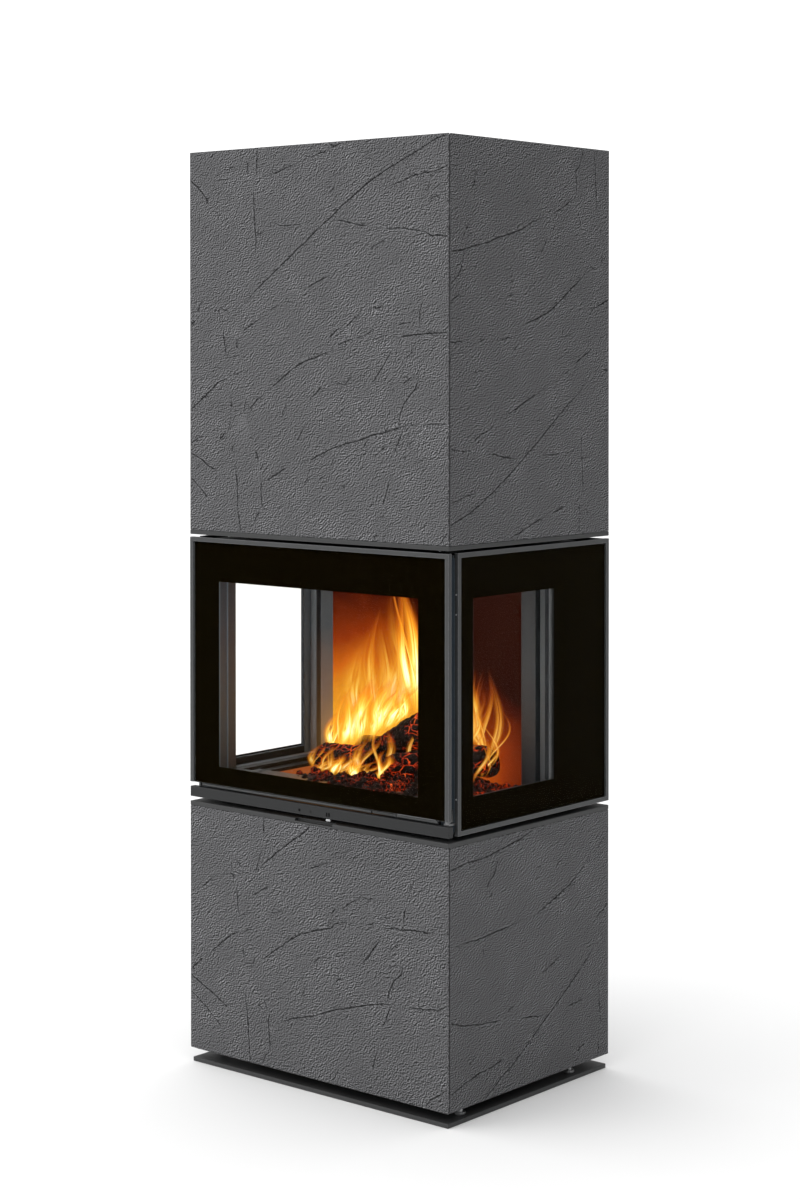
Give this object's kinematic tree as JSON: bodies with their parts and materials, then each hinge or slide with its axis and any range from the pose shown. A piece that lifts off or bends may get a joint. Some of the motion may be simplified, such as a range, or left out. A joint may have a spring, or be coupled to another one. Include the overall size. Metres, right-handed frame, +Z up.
{
  "type": "heat storage fireplace",
  "caption": "Free-standing heat storage fireplace: a stove with front and side windows, a hinged glass door and an air slide, between a stone-clad pedestal and a stone-clad storage block.",
  "frame": {"origin": "on the floor below the middle of the object", "axes": "+Z up, +X to the right as seen from the front, -Y towards the user in front of the door"},
  "size_m": [0.62, 0.468, 1.692],
  "materials": {
    "stone": "dark grey split stone, matt, pitted",
    "steel": "dark grey heat-resistant paint, satin",
    "galvanised": "galvanised sheet",
    "bright": "bright steel",
    "iron": "cast iron, sooty",
    "brick": "firebrick, matt",
    "storage": "cast storage stone, matt",
    "print_glass": "glass ceramic with a black printed border",
    "heat_glass": "clear glass ceramic",
    "rope": "black glass-fibre rope"
  },
  "bodies": {
    "stove_body": {"base_plate": "steel", "levelling_foot_front_left": "bright", "levelling_foot_front_right": "bright", "levelling_foot_rear_left": "bright", "levelling_foot_rear_right": "bright", "pedestal_frame": "steel", "lower_front_slab": "stone", "lower_left_slab": "stone", "lower_right_slab": "stone", "lower_rear_panel": "steel", "air_inlet_spigot": "galvanised", "air_duct": "galvanised", "lower_cap_plate": "steel", "firebox_base_frame": "steel", "sill_bar": "steel", "firebox_floor_pan": "steel", "ash_pan": "galvanised", "fire_grate": "iron", "hearth_floor": "brick", "hearth_rim": "steel", "front_left_post": "steel", "front_right_post": "steel", "firebox_rear_wall": "steel", "back_lining": "brick", "firebox_roof": "steel", "baffle_plate": "brick", "left_inner_frame": "steel", "left_inner_glass": "heat_glass", "left_side_frame": "steel", "left_outer_glass": "print_glass", "right_inner_frame": "steel", "right_inner_glass": "heat_glass", "right_side_frame": "steel", "right_outer_glass": "print_glass", "firebox_rear_cover": "steel", "latch_keeper": "steel", "upper_hinge_bracket": "bright", "lower_hinge_bracket": "bright", "upper_plate": "steel", "gas_outlet_neck": "steel", "storage_stone_1": "storage", "storage_stone_2": "storage", "storage_stone_3": "storage", "flue_collar": "steel", "upper_frame": "steel", "upper_front_slab": "stone", "upper_left_slab": "stone", "upper_right_slab": "stone", "upper_rear_panel": "steel", "top_cover": "steel"},
    "door": {"door_frame": "steel", "door_outer_glass": "print_glass", "door_inner_frame": "steel", "door_inner_glass": "heat_glass", "door_seal": "rope"},
    "latch_rod": {"latch_rod": "steel"},
    "latch_lever": {"latch_lever": "bright"},
    "air_slide": {"air_damper_plate": "steel", "air_control_lever": "bright"}
  },
  "joints": [
    {"name": "door_hinge", "type": "hinge", "parent": "stove_body", "child": "door", "pos_m": [0.2985, -0.222, 0.523], "axis": [0, 0, 1], "range_deg": [0, 95]},
    {"name": "latch_lever_pivot", "type": "hinge", "parent": "door", "child": "latch_lever", "pos_m": [0.1855, -0.2242, 0.5188], "axis": [0, 0, 1], "range_deg": [0, 40]},
    {"name": "latch_rod_slide", "type": "slide", "parent": "door", "child": "latch_rod", "axis": [1, 0, 0], "range_m": [0, 0.01]},
    {"name": "air_slide", "type": "slide", "parent": "stove_body", "child": "air_slide", "axis": [1, 0, 0], "range_m": [-0.067, 0]}
  ],
  "couplings": [
    {"joint": "latch_lever_pivot", "follows": "latch_rod_slide", "rad_per_m": 69.8}
  ]
}
